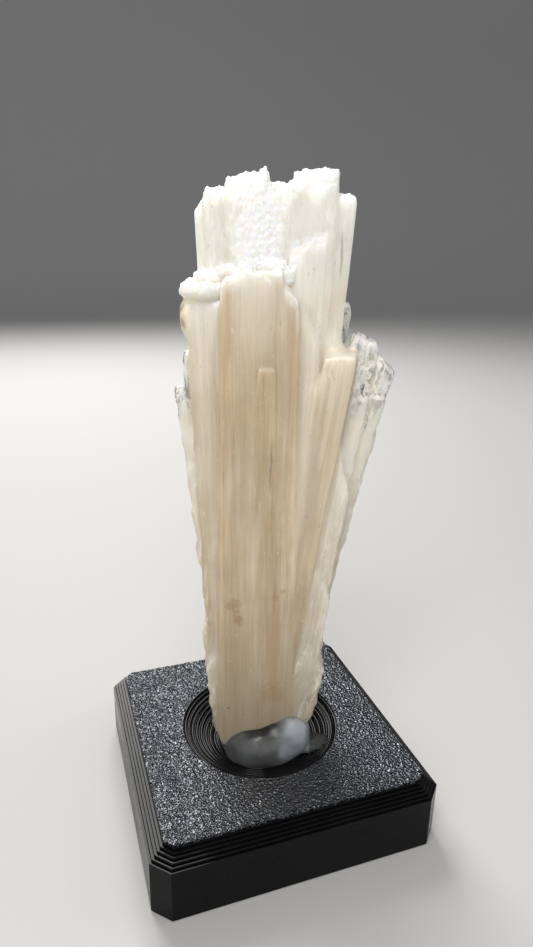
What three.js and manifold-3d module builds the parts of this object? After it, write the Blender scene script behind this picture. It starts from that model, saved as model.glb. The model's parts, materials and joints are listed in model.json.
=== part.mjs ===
// A spray of scolecite crystals, broken from its matrix, standing in the dish of a printed
// display stand and held there by a lump of clear putty.
// Millimetres, +Z up, origin at the middle of the stand's underside, which lies on z = 0.
import * as THREE from "three";
import { mergeVertices } from "three/addons/utils/BufferGeometryUtils.js";
import Module from "manifold-3d";

// Stand: a square slab with cut corners, a stepped bevel round its top and a stepped dish in it.
const STAND_SIDE = 50;
const STAND_HEIGHT = 12;
const CORNER_CUT = 2.8;
const BEVEL_WIDTH = 2.5;
const BEVEL_STEPS = 6;
const LAYER = 0.42; // height of one printed layer
const DISH_RADIUS = 14.5;
const DISH_DEPTH = 4.6;
const DISH_SEGMENTS = 48;

// Spray: its broad face is turned this much from the stand's front, towards +X.
const SPRAY_TURN = THREE.MathUtils.degToRad(-19.5);
const FOOT_Z = 8.6; // where the crystals meet, low in the dish
const OVERRUN = 3; // a crystal is drawn this much too long, and its end is then broken off
const SEAT_GAP = 0.3; // between the putty and what it touches

// Every crystal is one straight prism from the foot to its tip.
// foot: across, depth of its axis at the foot.      tip: across, depth, height of its axis.
// stem: width, depth of its section at the foot.    head: the same at the tip.
// turn: degrees that its section is turned.         rough: height of the steps in its broken end.
// slope: rise of the broken end per mm across, per mm of depth.
const CRYSTALS = {
  // the tall rear crystals, side by side, which make the top of the spray
  tall: [
    { foot: [-4.9, 0.8], tip: [-9.7, 1.0, 103.9], stem: [3.4, 6.2], head: [2.6, 9.2], turn: 3,
      rough: 0.3, slope: [1.2, 0.1] },
    { foot: [-3.8, 0.8], tip: [-7.2, 1.4, 105.7], stem: [4.2, 6.8], head: [5.2, 10.2], turn: 1,
      rough: 0.3, slope: [0.1, 0.1] },
    { foot: [-1.8, 0.5], tip: [-3.2, 1.5, 107.0], stem: [4.4, 7.4], head: [6.4, 10.8], turn: -1,
      rough: 0.4, slope: [0.2, -0.1] },
    { foot: [0.4, 0.6], tip: [1.6, 1.6, 106.4], stem: [4.4, 7.4], head: [5.8, 10.8], turn: 1,
      rough: 0.4, slope: [0.05, 0.1] },
    { foot: [2.6, 0.4], tip: [6.7, 1.2, 107.5], stem: [4.2, 7.4], head: [6.8, 10.4], turn: -1,
      rough: 0.4, slope: [0.1, -0.1] },
    { foot: [4.4, 0.8], tip: [10.9, 1.1, 105.0], stem: [3.2, 6.4], head: [3.4, 9.8], turn: 1,
      rough: 0.3, slope: [-0.1, 0.1] },
  ],
  // the tan crystals that stand against their front, with a ledge where they end
  front: [
    { foot: [-4.4, -3.0], tip: [-4.5, -4.4, 94.2], stem: [6.0, 3.6], head: [4.8, 5.2], turn: 1,
      rough: 0.3, slope: [0.45, 0.25] },
    { foot: [-0.4, -3.2], tip: [-0.4, -4.5, 94.8], stem: [4.6, 3.6], head: [5.6, 5.4], turn: -1,
      rough: 0.3, slope: [0.05, 0.25] },
    { foot: [3.2, -3.0], tip: [2.8, -4.3, 92.4], stem: [5.2, 3.4], head: [3.4, 5.2], turn: 1,
      rough: 0.3, slope: [-0.9, 0.3] },
    { foot: [-0.8, -2.9], tip: [0.1, -6.4, 80.4], stem: [2.2, 2.0], head: [2.7, 1.8], turn: 0,
      rough: 0.1, slope: [0, 0.1] },
    { foot: [2.4, -2.2], tip: [5.9, -1.8, 98.6], stem: [2.8, 3.6], head: [5.6, 4.7], turn: -2,
      rough: 0.3, slope: [0.2, 0.35] },
    { foot: [2.2, -2.7], tip: [6.2, -2.8, 86.6], stem: [3.0, 3.6], head: [4.6, 4.8], turn: 1,
      rough: 0.3, slope: [-1.8, 0.3] },
  ],
  // the left side: a pale crystal under the rounded cap, with clear slivers along its edge
  left: [
    { foot: [-4.9, -1.4], tip: [-8.2, -1.8, 90.0], stem: [5.0, 5.6], head: [6.2, 7.0], turn: -22,
      rough: 0.4, slope: [0, 0] },
    { foot: [-5.6, 0.0], tip: [-11.9, -1.2, 82.2], stem: [3.2, 3.6], head: [2.3, 4.6], turn: 6,
      rough: 0.3, slope: [0.3, 0] },
    { foot: [-5.2, -0.8], tip: [-13.2, -2.0, 76.2], stem: [2.6, 2.4], head: [2.0, 2.4], turn: 12,
      rough: 0.3, slope: [-0.4, 0.2] },
    { foot: [-5.4, 0.2], tip: [-8.7, 0.4, 36.0], stem: [4.8, 6.8], head: [3.8, 6.8], turn: -6,
      rough: 0.3, slope: [1.0, 0] },
    { foot: [-5.2, -1.0], tip: [-8.2, -1.4, 28.4], stem: [4.8, 6.4], head: [4.0, 6.4], turn: 4,
      rough: 0.3, slope: [0.9, 0] },
  ],
  // the right side: a tan blade in front of the clear wing
  right: [
    { foot: [1.8, -2.6], tip: [11.4, -3.6, 82.6], stem: [2.0, 3.8], head: [5.0, 5.0], turn: -5,
      rough: 0.2, slope: [0.05, 0.2] },
    { foot: [1.4, -2.6], tip: [8.5, -4.2, 78.8], stem: [1.8, 3.4], head: [2.6, 3.8], turn: -3,
      rough: 0.2, slope: [0.9, 0.2] },
    { foot: [4.2, -0.8], tip: [15.3, -1.5, 84.9], stem: [3.4, 4.8], head: [4.5, 3.8], turn: -7,
      rough: 0.3, slope: [-0.15, 0.1] },
    { foot: [2.8, -0.4], tip: [18.3, -0.6, 80.9], stem: [3.2, 4.8], head: [4.2, 3.4], turn: -8,
      rough: 0.4, slope: [-0.5, 0.1] },
    { foot: [4.8, 1.8], tip: [12.4, 2.6, 89.6], stem: [2.2, 3.0], head: [1.7, 2.6], turn: -5,
      rough: 0.3, slope: [-0.3, 0] },
    { foot: [4.0, -1.6], tip: [12.6, -2.4, 65.0], stem: [3.8, 5.4], head: [4.4, 5.0], turn: -6,
      rough: 0.3, slope: [-3.6, 0.3] },
    { foot: [4.8, -0.4], tip: [10.0, -1.0, 44.0], stem: [5.6, 7.6], head: [4.8, 8.0], turn: -6,
      rough: 0.3, slope: [-1.4, 0] },
    { foot: [4.2, -0.6], tip: [9.0, -1.1, 28.4], stem: [5.6, 7.6], head: [5.6, 8.0], turn: 0,
      rough: 0.3, slope: [-0.7, 0] },
  ],
  // the back of the spray
  back: [
    { foot: [-3.0, 2.8], tip: [-5.6, 7.2, 98.2], stem: [4.8, 3.8], head: [6.8, 4.6], turn: -4,
      rough: 0.5, slope: [0.2, -0.3] },
    { foot: [0.4, 3.2], tip: [1.2, 8.2, 91.0], stem: [4.6, 3.8], head: [6.6, 5.0], turn: 3,
      rough: 0.5, slope: [-0.2, -0.3] },
    { foot: [3.4, 2.6], tip: [7.6, 7.0, 95.4], stem: [4.2, 3.8], head: [5.6, 4.8], turn: -7,
      rough: 0.5, slope: [-0.3, -0.2] },
    { foot: [-5.0, 2.0], tip: [-10.6, 5.0, 81.0], stem: [3.6, 3.8], head: [4.0, 4.8], turn: 12,
      rough: 0.4, slope: [0.5, -0.2] },
    { foot: [5.0, 2.0], tip: [12.6, 4.4, 70.0], stem: [3.6, 3.8], head: [3.8, 4.0], turn: -14,
      rough: 0.4, slope: [-0.5, -0.2] },
    { foot: [-1.4, 4.0], tip: [-2.2, 9.8, 66.0], stem: [3.6, 2.6], head: [4.2, 3.2], turn: 6,
      rough: 0.4, slope: [0.2, -0.5] },
  ],
};

const wasm = await Module();
wasm.setup();

// A closed geometry as a solid that can be joined and cut.
function solid(geometry) {
  geometry.deleteAttribute("normal");
  geometry.deleteAttribute("uv");
  const merged = mergeVertices(geometry, 1e-4);
  return new wasm.Manifold(
    new wasm.Mesh({
      numProp: 3,
      vertProperties: new Float32Array(merged.attributes.position.array),
      triVerts: new Uint32Array(merged.index.array),
    }),
  );
}

// A solid back as a geometry, with flat faces.
function geometryOf(body) {
  const mesh = body.getMesh();
  const geometry = new THREE.BufferGeometry();
  geometry.setAttribute("position", new THREE.BufferAttribute(mesh.vertProperties, 3));
  geometry.setIndex(new THREE.BufferAttribute(mesh.triVerts, 1));
  const flat = geometry.toNonIndexed();
  flat.computeVertexNormals();
  return flat;
}

function joined(bodies) {
  return bodies.reduce((all, body) => all.add(body));
}

// Seeded random numbers from 0 to 1.
function dice(seed) {
  let state = seed * 2654435761;
  return () => {
    state = (state + 0x6d2b79f5) | 0;
    let t = Math.imul(state ^ (state >>> 15), 1 | state);
    t = (t + Math.imul(t ^ (t >>> 7), 61 | t)) ^ t;
    return ((t ^ (t >>> 14)) >>> 0) / 4294967296;
  };
}

// Moves every vertex of a geometry by a function of its place.
function shaped(geometry, move) {
  const place = geometry.attributes.position;
  const point = new THREE.Vector3();
  for (let i = 0; i < place.count; i++) {
    point.fromBufferAttribute(place, i);
    move(point);
    place.setXYZ(i, point.x, point.y, point.z);
  }
  return geometry;
}

// Section of a crystal in a square from -1 to 1: a block with cut corners, and one shallow
// band let into each of its two broad faces.
function section(random) {
  const outline = [];
  const corner = (x, y) => {
    const cut = 0.1 + 0.16 * random();
    const first = [x, y * (1 - cut)];
    const second = [x * (1 - cut), y];
    outline.push(...(x * y > 0 ? [first, second] : [second, first]));
  };
  const band = (y) => {
    const start = 0.25 + 0.4 * random();
    const end = -0.1 - 0.5 * random();
    const level = 1 - 0.04 - 0.05 * random();
    const side = 0.06;
    outline.push([y * start, y], [y * (start - side), y * level]);
    outline.push([y * end, y * level], [y * (end - side), y]);
  };
  corner(1, 1);
  band(1);
  corner(-1, 1);
  corner(-1, -1);
  band(-1);
  corner(1, -1);
  return new THREE.Shape(outline.map(([x, y]) => new THREE.Vector2(x, y)));
}

// What is broken off above a crystal's end: a block with a crumpled underside.
function breakage(crystal, random) {
  const cell = 1.8; // spacing of the crumples
  const [across, depth, height] = crystal.tip;
  const width = crystal.head[0] + 4;
  const deep = crystal.head[1] + 4;
  const tall = 30;
  const columns = Math.round(width / cell);
  const rows = Math.round(deep / cell);
  const rise = Array.from({ length: (columns + 1) * (rows + 1) }, () => random() - 0.5);
  const block = new THREE.BoxGeometry(width, deep, tall, columns, rows, 1);
  shaped(block, (p) => {
    const column = Math.round((p.x / width + 0.5) * columns);
    const row = Math.round((p.y / deep + 0.5) * rows);
    if (p.z < 0) {
      const step = 2 * crystal.rough * rise[row * (columns + 1) + column];
      p.z += p.x * crystal.slope[0] + p.y * crystal.slope[1] + step;
    }
    p.set(across + p.x, depth + p.y, height + p.z + tall / 2);
  });
  return solid(block);
}

// One crystal, from the foot to its broken end. grow makes it wider all round.
function prism(crystal, seed, grow = 0) {
  const random = dice(seed);
  const bar = new THREE.ExtrudeGeometry(section(random), { depth: 1, bevelEnabled: false });
  const rise = crystal.tip[2] - FOOT_Z;
  const turn = THREE.MathUtils.degToRad(crystal.turn);
  shaped(bar, (p) => {
    const along = p.z * (1 + OVERRUN / rise);
    const across = THREE.MathUtils.lerp(crystal.foot[0], crystal.tip[0], along);
    const depth = THREE.MathUtils.lerp(crystal.foot[1], crystal.tip[1], along);
    const halfWidth = THREE.MathUtils.lerp(crystal.stem[0], crystal.head[0], along) / 2 + grow;
    const halfDepth = THREE.MathUtils.lerp(crystal.stem[1], crystal.head[1], along) / 2 + grow;
    const x = p.x * halfWidth;
    const y = p.y * halfDepth;
    p.x = across + x * Math.cos(turn) - y * Math.sin(turn);
    p.y = depth + x * Math.sin(turn) + y * Math.cos(turn);
    p.z = FOOT_Z - grow + along * rise;
  });
  return solid(bar).subtract(breakage(crystal, random));
}

// A lump with a dented surface, such as the white knobs that cap the left crystal.
function lump(centre, radii, dent, seed) {
  const random = dice(seed);
  const waves = Array.from({ length: 4 }, () => [0, 0, 0, 0].map(() => 6 * random()));
  const ball = new THREE.IcosahedronGeometry(1, 3);
  shaped(ball, (p) => {
    const wave = waves.map(([a, b, c, d]) => Math.sin(a * p.x + b * p.y + c * p.z + d));
    p.multiplyScalar(1 + (dent * wave.reduce((sum, w) => sum + w)) / waves.length);
    p.set(centre[0] + p.x * radii[0], centre[1] + p.y * radii[1], centre[2] + p.z * radii[2]);
  });
  return solid(ball);
}

// A flat break: a big block laid with its face through a point, square to a direction.
function chip(point, direction) {
  const size = 40;
  const block = new THREE.BoxGeometry(size, size, size);
  block.translate(0, 0, size / 2);
  const turn = new THREE.Quaternion().setFromUnitVectors(
    new THREE.Vector3(0, 0, 1),
    new THREE.Vector3(...direction).normalize(),
  );
  block.applyQuaternion(turn);
  block.translate(...point);
  return solid(block);
}

// The whole spray, grown together. Its foot is chipped to a blunt point.
function spray(grow = 0) {
  const prisms = Object.values(CRYSTALS).flat().map((crystal, i) => prism(crystal, i + 1, grow));
  const cap = lump([-10.9, -2.4, 91.1], [2.5, 3.8, 1.9], 0.06, 77);
  const capEnd = lump([-8.8, -3.2, 91.1], [2.6, 3.6, 1.9], 0.06, 79);
  const stained = lump([-11.5, -2.2, 87.2], [1.8, 2.6, 3.6], 0.1, 78);
  const chips = [
    [[-6.2, -1.5, 9.6 - grow], [-0.8, -0.1, -0.55]],
    [[5.6, 0, 9.6 - grow], [0.7, 0.1, -0.6]],
    [[0, 4.6, 9.8 - grow], [0, 0.7, -0.6]],
    [[0, -4.8, 9.4 - grow], [0, -0.75, -0.6]],
  ];
  return chips.reduce((body, [point, direction]) => body.subtract(chip(point, direction)),
    joined([...prisms, cap, capEnd, stained]));
}

// Outline of the slab at an inset from its outer side. The corner cut shrinks with the inset.
function slabOutline(inset) {
  const half = STAND_SIDE / 2 - inset;
  const cut = CORNER_CUT - inset * (2 - Math.SQRT2);
  const shape = new THREE.Shape();
  const corners = [[1, 1], [-1, 1], [-1, -1], [1, -1]];
  corners.forEach(([x, y], i) => {
    const a = [x * half, y * (half - cut)];
    const b = [x * (half - cut), y * half];
    const [first, second] = x * y > 0 ? [a, b] : [b, a];
    if (i === 0) shape.moveTo(...first);
    else shape.lineTo(...first);
    shape.lineTo(...second);
  });
  shape.closePath();
  return shape;
}

// The slab, built in layers as it is printed: one thick block and the steps of its bevel.
function slab() {
  const overlap = 0.05;
  const bevelBase = STAND_HEIGHT - BEVEL_STEPS * LAYER;
  const block = new THREE.ExtrudeGeometry(slabOutline(0), { depth: bevelBase, bevelEnabled: false });
  const layers = [solid(block)];
  for (let i = 0; i < BEVEL_STEPS; i++) {
    const inset = (BEVEL_WIDTH * (i + 1)) / BEVEL_STEPS;
    const step = new THREE.ExtrudeGeometry(slabOutline(inset), {
      depth: LAYER + overlap,
      bevelEnabled: false,
    });
    step.translate(0, 0, bevelBase + i * LAYER - overlap);
    layers.push(solid(step));
  }
  return joined(layers);
}

// Radius of the dish at a depth under the stand's top, on a sphere through its rim and bottom.
function dishRadius(depth) {
  const sphere = (DISH_RADIUS ** 2 + DISH_DEPTH ** 2) / (2 * DISH_DEPTH);
  const drop = sphere - DISH_DEPTH + depth;
  return Math.sqrt(Math.max(sphere ** 2 - drop ** 2, 0));
}

// The hollow of the dish, in printed steps, carried up to a height above the stand's top.
function dishHollow(above, shrink = 0) {
  const steps = Math.floor(DISH_DEPTH / LAYER);
  const profile = [new THREE.Vector2(0, STAND_HEIGHT - steps * LAYER + shrink)];
  for (let i = steps; i > 0; i--) {
    const radius = dishRadius((i - 1) * LAYER) - shrink;
    profile.push(new THREE.Vector2(radius, STAND_HEIGHT - i * LAYER + shrink));
    profile.push(new THREE.Vector2(radius, STAND_HEIGHT - (i - 1) * LAYER + (i > 1 ? shrink : above)));
  }
  profile.push(new THREE.Vector2(0, STAND_HEIGHT + above));
  const turned = new THREE.LatheGeometry(profile, DISH_SEGMENTS);
  turned.rotateX(Math.PI / 2);
  return solid(turned);
}

function mesh(name, body, color, roughness, metalness = 0) {
  const made = new THREE.Mesh(
    geometryOf(body),
    new THREE.MeshStandardMaterial({ color, roughness, metalness, flatShading: true }),
  );
  made.name = name;
  return made;
}

// The putty: soft lobes pressed against the front of the foot, lying in the dish, and a
// thin skin smeared out of them to the right.
function putty() {
  const lobes = joined([
    lump([0.3, -4.3, 9.6], [6.9, 4.7, 4.8], 0.03, 5),
    lump([3.0, -4.2, 11.0], [4.6, 4.4, 4.6], 0.03, 6),
    lump([5.6, -3.9, 12.4], [3.8, 3.8, 4.7], 0.03, 7),
    lump([9.4, -3.4, 10.0], [4.2, 2.6, 1.4], 0.05, 8),
  ]).rotate([0, 0, THREE.MathUtils.radToDeg(SPRAY_TURN)]);
  const foot = spray(SEAT_GAP).rotate([0, 0, THREE.MathUtils.radToDeg(SPRAY_TURN)]);
  return lobes.intersect(dishHollow(10, SEAT_GAP)).subtract(foot);
}

const specimen = new THREE.Group();
const stand = mesh("plinth", slab().subtract(dishHollow(5)), 0x17181a, 0.5);
const crystals = mesh("crystal_cluster", spray(), 0xd9c7a8, 0.35);
crystals.rotation.z = SPRAY_TURN;
const seat = mesh("putty", putty(), 0x9aa3a6, 0.3);
specimen.add(stand, crystals, seat);

export default specimen;
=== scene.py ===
# A spray of scolecite crystals standing in the dish of a black printed stand, held by a lump
# of cloudy grey putty. Metres, +Z up, origin at the middle of the stand's underside.
import json
import math
import random

import bpy
import mathutils.noise
import numpy as np
from mathutils import Matrix, Vector

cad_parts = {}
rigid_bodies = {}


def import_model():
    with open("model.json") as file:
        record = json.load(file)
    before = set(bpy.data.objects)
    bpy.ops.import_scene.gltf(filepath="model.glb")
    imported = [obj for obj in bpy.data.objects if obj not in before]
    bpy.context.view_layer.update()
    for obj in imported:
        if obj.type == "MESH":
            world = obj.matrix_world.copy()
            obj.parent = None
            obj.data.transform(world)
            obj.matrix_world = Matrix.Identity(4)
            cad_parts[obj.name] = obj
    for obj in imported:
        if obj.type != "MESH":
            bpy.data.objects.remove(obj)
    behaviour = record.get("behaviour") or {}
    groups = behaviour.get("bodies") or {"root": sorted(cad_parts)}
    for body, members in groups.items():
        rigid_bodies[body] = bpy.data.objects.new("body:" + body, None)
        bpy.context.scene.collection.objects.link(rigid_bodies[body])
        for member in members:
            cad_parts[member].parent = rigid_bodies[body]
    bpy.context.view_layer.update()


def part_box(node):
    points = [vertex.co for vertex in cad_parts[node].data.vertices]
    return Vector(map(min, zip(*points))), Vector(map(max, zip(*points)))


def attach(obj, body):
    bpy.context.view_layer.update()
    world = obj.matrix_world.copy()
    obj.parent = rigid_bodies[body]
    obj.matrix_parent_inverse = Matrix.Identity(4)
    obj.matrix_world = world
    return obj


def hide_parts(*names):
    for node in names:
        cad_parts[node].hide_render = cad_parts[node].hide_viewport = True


bpy.ops.object.select_all(action="SELECT")
bpy.ops.object.delete()
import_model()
bpy.ops.object.select_all(action="DESELECT")
MM = 0.001

# ---------------------------------------------------------------------------- stand
# The stand is a square slab of black plastic, printed in layers 0.42 mm high that show as fine
# lines on its walls and as steps in its bevel and its round dish. Its top was printed against
# a textured plate, which leaves a coarse sparkling grain.
plinth_low, plinth_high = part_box("plinth")
SIDE = plinth_high.x - plinth_low.x
TOP = plinth_high.z
LAYER = 0.42 * MM
CORNER_CUT = 2.8 * MM
WALL_LAYERS = 23
GROOVE = 0.022 * MM
GROOVE_SHARE = 0.15
BEVEL_LAYERS = 6
BEVEL_WIDTH = 2.5 * MM
BEVEL_TRIM = 0.02 * MM
# A step of the bevel or of the dish is a wall, a shoulder and a lip that draw in to a round edge.
STEP_WALL, STEP_SHOULDER, STEP_LIP = 0.6 * LAYER, 0.25 * LAYER, 0.15 * LAYER
STEP_ROUND = 0.07 * MM
SKIN_RIM = 0.06 * MM
SKIN_DEPTH = 0.35 * MM
SKIN_THICKNESS = 0.5 * MM
SKIN_CELLS = 300
GRAIN = 0.5 * MM
GRAIN_HEIGHT = 0.16 * MM
DISH_RADIUS = 14.5 * MM
DISH_DEPTH = 4.6 * MM
DISH_ROUND = 0.06 * MM
DISH_RIM = 0.2 * MM
ABOVE_TOP = 3 * MM


def pick(piece):
    """Selects one piece and nothing else."""
    bpy.ops.object.select_all(action="DESELECT")
    bpy.context.view_layer.objects.active = piece
    piece.select_set(True)


def settle():
    """Puts the selected piece's place, turn and size into its mesh."""
    bpy.ops.object.transform_apply(location=True, rotation=True, scale=True)


def apply_modifiers(piece):
    """Applies all modifiers of a piece, in their order."""
    pick(piece)
    for modifier in list(piece.modifiers):
        bpy.ops.object.modifier_apply(modifier=modifier.name)


def combine(piece, others, operation):
    """Joins other closed meshes to a piece, or cuts them out of it, and removes them."""
    tools = bpy.data.collections.new("tools")
    for other in others:
        tools.objects.link(other)
    boolean = piece.modifiers.new("combine", "BOOLEAN")
    boolean.operation = operation
    boolean.solver = "MANIFOLD"
    boolean.operand_type = "COLLECTION"
    boolean.collection = tools
    apply_modifiers(piece)
    for other in others:
        bpy.data.objects.remove(other)
    bpy.data.collections.remove(tools)


def raise_ring(height, grow):
    """Extrudes the selected top face upwards and scales its outline by a factor."""
    bpy.ops.mesh.extrude_region_move(TRANSFORM_OT_translate={"value": (0, 0, height)})
    if grow != 1:
        bpy.ops.transform.resize(value=(grow, grow, 1), center_override=(0, 0, 0))


def texture(name, size, basis="BLENDER_ORIGINAL", depth=0, hard=False):
    """A procedural noise for a Displace modifier."""
    made = bpy.data.textures.new(name, "CLOUDS")
    made.noise_scale = size
    made.noise_basis = basis
    made.noise_depth = depth
    made.noise_type = "HARD_NOISE" if hard else "SOFT_NOISE"
    return made


def displace(piece, pattern, strength, direction="NORMAL", group="", mid=0.5, coords=None):
    """Moves a piece's surface in and out by a texture."""
    modifier = piece.modifiers.new(pattern.name, "DISPLACE")
    modifier.texture = pattern
    modifier.strength = strength
    modifier.mid_level = mid
    modifier.direction = direction
    modifier.vertex_group = group
    if coords:
        modifier.texture_coords = "OBJECT"
        modifier.texture_coords_object = coords


# The slab: a plate with cut corners, raised layer by layer.
bpy.ops.mesh.primitive_plane_add(size=SIDE, location=(0, 0, 0))
plinth = bpy.context.object
plinth.name = "stand_slab"
bpy.ops.object.mode_set(mode="EDIT")
bpy.ops.mesh.bevel(offset=CORNER_CUT, offset_type="OFFSET", affect="VERTICES", segments=1)
bpy.ops.mesh.select_all(action="SELECT")
wall_layer = (TOP - BEVEL_LAYERS * LAYER) / WALL_LAYERS
pinch = 1 - 2 * GROOVE / SIDE
for i in range(WALL_LAYERS):
    raise_ring(wall_layer * (1 - 2 * GROOVE_SHARE), 1)
    raise_ring(wall_layer * GROOVE_SHARE, pinch)
    raise_ring(wall_layer * GROOVE_SHARE, 1 / pinch)
rounding = 1 - 2 * STEP_ROUND / SIDE
for i in range(BEVEL_LAYERS):
    bpy.ops.mesh.inset(thickness=BEVEL_WIDTH / BEVEL_LAYERS - BEVEL_TRIM)
    raise_ring(STEP_WALL, 1)
    raise_ring(STEP_SHOULDER, rounding ** 0.3)
    raise_ring(STEP_LIP, rounding)
bpy.ops.mesh.inset(thickness=SKIN_RIM)
raise_ring(-SKIN_DEPTH, 1)
bpy.ops.mesh.select_all(action="SELECT")
bpy.ops.mesh.normals_make_consistent(inside=False)
bpy.ops.object.mode_set(mode="OBJECT")

# Its top skin: a fine sheet with the plate's grain, let into the slab.
top_side = SIDE - 2 * BEVEL_WIDTH
top_cut = CORNER_CUT - BEVEL_WIDTH * (2 - math.sqrt(2))
bpy.ops.mesh.primitive_grid_add(
    x_subdivisions=SKIN_CELLS, y_subdivisions=SKIN_CELLS, size=top_side, location=(0, 0, TOP)
)
skin = bpy.context.object
skin.name = "stand_top"
settle()
bpy.ops.object.mode_set(mode="EDIT")
for x, y in [(1, 1), (-1, 1), (-1, -1), (1, -1)]:
    bpy.ops.mesh.select_all(action="SELECT")
    corner = Vector((x * top_side / 2, y * (top_side / 2 - top_cut), 0))
    bpy.ops.mesh.bisect(plane_co=corner, plane_no=(x, y, 0), clear_outer=True)
bpy.ops.object.mode_set(mode="OBJECT")
displace(skin, texture("grain", GRAIN, "VORONOI_F1", 1), GRAIN_HEIGHT, "Z", mid=0.55)
thickness = skin.modifiers.new("thickness", "SOLIDIFY")
thickness.thickness = SKIN_THICKNESS
thickness.offset = -1
apply_modifiers(skin)
for name in ("black_printed_plastic", "grained_black_plastic"):
    plinth.data.materials.append(bpy.data.materials.new(name))
    skin.data.materials.append(plinth.data.materials[-1])
for face in skin.data.polygons:
    face.material_index = 1
combine(plinth, [skin], "UNION")

# The dish: a disc raised in rings that widen like the inside of a bowl, cut out of the slab.
bowl_radius = (DISH_RADIUS**2 + DISH_DEPTH**2) / (2 * DISH_DEPTH)
dish_layers = int(DISH_DEPTH / LAYER)


def dish_radius(depth):
    """Radius of the dish at a depth under the stand's top."""
    return math.sqrt(max(bowl_radius**2 - (bowl_radius - DISH_DEPTH + depth) ** 2, 0))


lowest = dish_radius((dish_layers - 1) * LAYER)
bpy.ops.mesh.primitive_circle_add(
    vertices=96, radius=lowest, fill_type="NGON", location=(0, 0, TOP - dish_layers * LAYER)
)
hollow = bpy.context.object
settle()
bpy.ops.object.mode_set(mode="EDIT")
bpy.ops.mesh.select_all(action="SELECT")
for i in range(dish_layers - 1, -1, -1):
    radius = dish_radius(i * LAYER)
    shoulder = radius + DISH_ROUND
    lip = radius + 3 * DISH_ROUND
    wider = dish_radius((i - 1) * LAYER) if i else radius + DISH_RIM
    raise_ring(STEP_WALL, 1)
    raise_ring(STEP_SHOULDER, shoulder / radius)
    raise_ring(STEP_LIP, lip / shoulder)
    raise_ring(0, wider / lip)
raise_ring(ABOVE_TOP, 1)
bpy.ops.mesh.select_all(action="SELECT")
bpy.ops.mesh.normals_make_consistent(inside=False)
bpy.ops.object.mode_set(mode="OBJECT")
combine(plinth, [hollow], "DIFFERENCE")


def node(tree, kind, inputs=None, **settings):
    """Adds a shader node. An input that is given a socket is linked to it."""
    made = tree.nodes.new("ShaderNode" + kind)
    for name, value in settings.items():
        setattr(made, name, value)
    for name, value in (inputs or {}).items():
        if isinstance(value, bpy.types.NodeSocket):
            tree.links.new(value, made.inputs[name])
        else:
            made.inputs[name].default_value = value
    return made


def between(tree, value, low, high, to_low=0.0, to_high=1.0):
    """Maps a value's range smoothly onto another one."""
    made = node(tree, "MapRange", {0: value, 1: low, 2: high, 3: to_low, 4: to_high})
    made.interpolation_type = "SMOOTHSTEP"
    return made.outputs["Result"]


def ramp(tree, factor, stops):
    """A colour ramp through (position, colour) stops."""
    made = node(tree, "ValToRGB", {"Fac": factor})
    colors = made.color_ramp.elements
    while len(colors) < len(stops):
        colors.new(0.5)
    for element, (position, color) in zip(colors, stops):
        element.position = position
        element.color = (*color, 1)
    return made.outputs["Color"]


def maths(tree, operation, a, b=0.0, clamp=False):
    """One Math node."""
    made = node(tree, "Math", {0: a, 1: b}, operation=operation, use_clamp=clamp)
    return made.outputs["Value"]


def times(tree, a, b):
    """The product of two values."""
    return maths(tree, "MULTIPLY", a, b)


def vector_maths(tree, operation, a, b=(0, 0, 0), output="Value"):
    """One Vector Math node."""
    return node(tree, "VectorMath", {0: a, 1: b}, operation=operation).outputs[output]


def mixed(tree, factor, a, b):
    """Mixes two colours."""
    made = node(tree, "Mix", data_type="RGBA")
    for name, value in (("Factor_Float", factor), ("A_Color", a), ("B_Color", b)):
        socket = next(s for s in made.inputs if s.identifier == name)
        if isinstance(value, bpy.types.NodeSocket):
            tree.links.new(value, socket)
        else:
            socket.default_value = value if name == "Factor_Float" else (*value, 1)
    return next(s for s in made.outputs if s.identifier == "Result_Color")


def noise(tree, vector, scale, detail=3.0, roughness=0.5):
    """Fractal noise of a vector, 0 to 1; scale is features a metre."""
    values = {"Vector": vector, "Scale": scale, "Detail": detail, "Roughness": roughness}
    return node(tree, "TexNoise", values).outputs["Fac"]


def relief(tree, height, strength, depth, under=None):
    """The normal of a bumpy surface, on top of another relief's normal."""
    made = node(tree, "Bump", {"Height": height, "Strength": strength, "Distance": depth})
    if under:
        tree.links.new(under, made.inputs["Normal"])
    return made.outputs["Normal"]


def opened(material):
    """Gives a material nodes; returns their tree, the main shader and the place on the object."""
    material.use_nodes = True
    tree = material.node_tree
    return tree, tree.nodes["Principled BSDF"], node(tree, "TexCoord").outputs["Object"]


# Black plastic, satin where the nozzle drew its lines.
tree, shader, place = opened(bpy.data.materials["black_printed_plastic"])
smudge = noise(tree, place, 90, 4)
drawn = node(tree, "Mapping", {"Vector": place, "Scale": (120, 120, 1100)}).outputs["Vector"]
streaks = noise(tree, drawn, 1, 3)
tree.links.new(between(tree, smudge, 0.3, 0.7, 0.13, 0.24), shader.inputs["Roughness"])
dark = ramp(tree, smudge, [(0.3, (0.002, 0.002, 0.0023)), (0.7, (0.004, 0.004, 0.0045))])
tree.links.new(dark, shader.inputs["Base Color"])
lines = relief(tree, streaks, 0.12, 0.04 * MM)
flat = vector_maths(tree, "MULTIPLY", place, (1, 1, 0), "Vector")
from_axis = vector_maths(tree, "LENGTH", flat)
bead = maths(tree, "FRACT", maths(tree, "DIVIDE", from_axis, LAYER))
bead = times(tree, bead, maths(tree, "SUBTRACT", 1.0, bead))
in_dish = between(tree, from_axis, DISH_RADIUS + 0.7 * MM, DISH_RADIUS + DISH_RIM)
beads = relief(tree, bead, in_dish, 0.4 * MM, lines)
tree.links.new(beads, shader.inputs["Normal"])
shader.inputs["Specular IOR Level"].default_value = 0.14

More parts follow.
